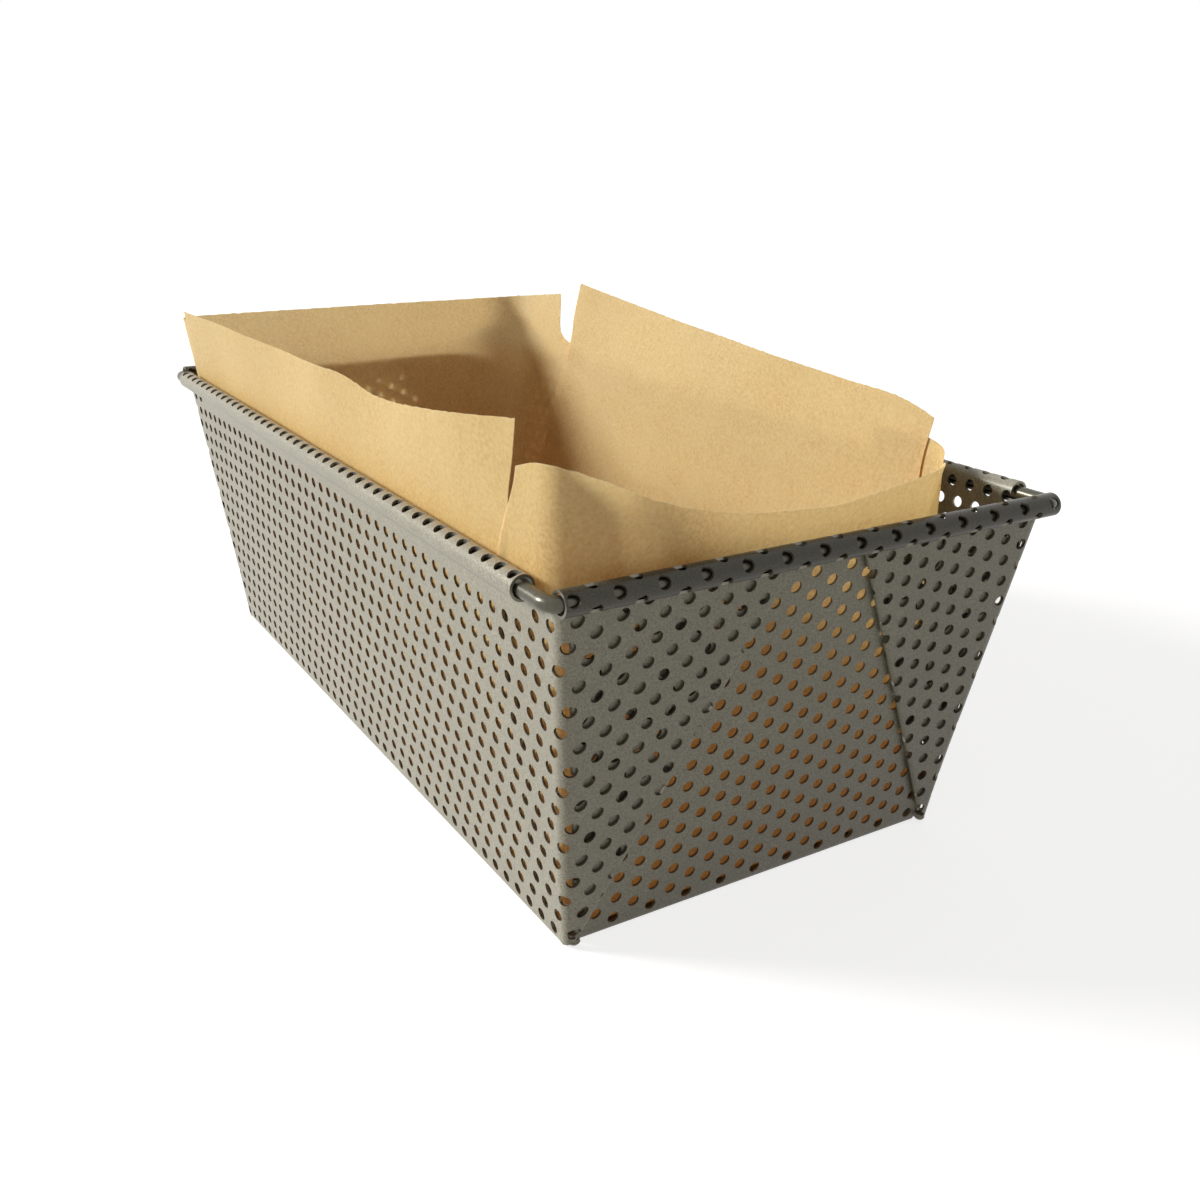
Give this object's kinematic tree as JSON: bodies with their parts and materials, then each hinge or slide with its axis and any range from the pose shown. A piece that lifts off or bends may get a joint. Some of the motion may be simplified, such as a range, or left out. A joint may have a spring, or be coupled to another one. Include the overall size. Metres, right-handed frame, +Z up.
{
  "type": "perforated loaf pan",
  "caption": "Folded loaf pan of perforated sheet steel with flared walls, envelope-folded corners and a rim rolled over a wire, holding a loose slit paper liner.",
  "frame": {"origin": "middle of the pan's base, on the surface that it stands on", "axes": "+X along the length towards the right end wall, +Y across towards the back wall, +Z up"},
  "size_m": [0.237, 0.1236, 0.1035],
  "materials": {
    "perforated_sheet": "satin, fine-grained tinned sheet",
    "rim_wire_steel": "bright drawn wire",
    "liner_paper": "matt unbleached baking paper"
  },
  "bodies": {
    "pan": {"base_panel": "perforated_sheet", "front_wall": "perforated_sheet", "back_wall": "perforated_sheet", "left_end_wall": "perforated_sheet", "right_end_wall": "perforated_sheet", "front_left_pleat": "perforated_sheet", "front_right_pleat": "perforated_sheet", "back_left_pleat": "perforated_sheet", "back_right_pleat": "perforated_sheet", "front_rim_roll": "perforated_sheet", "back_rim_roll": "perforated_sheet", "left_rim_roll": "perforated_sheet", "right_rim_roll": "perforated_sheet", "rim_wire": "rim_wire_steel"},
    "liner": {"liner_base": "liner_paper", "liner_front": "liner_paper", "liner_back": "liner_paper", "liner_left": "liner_paper", "liner_right": "liner_paper"}
  },
  "joints": [
    {"name": "liner_lift", "type": "slide", "parent": "pan", "child": "liner", "axis": [0, 0, 1], "range_m": [0, 0.085]}
  ]
}
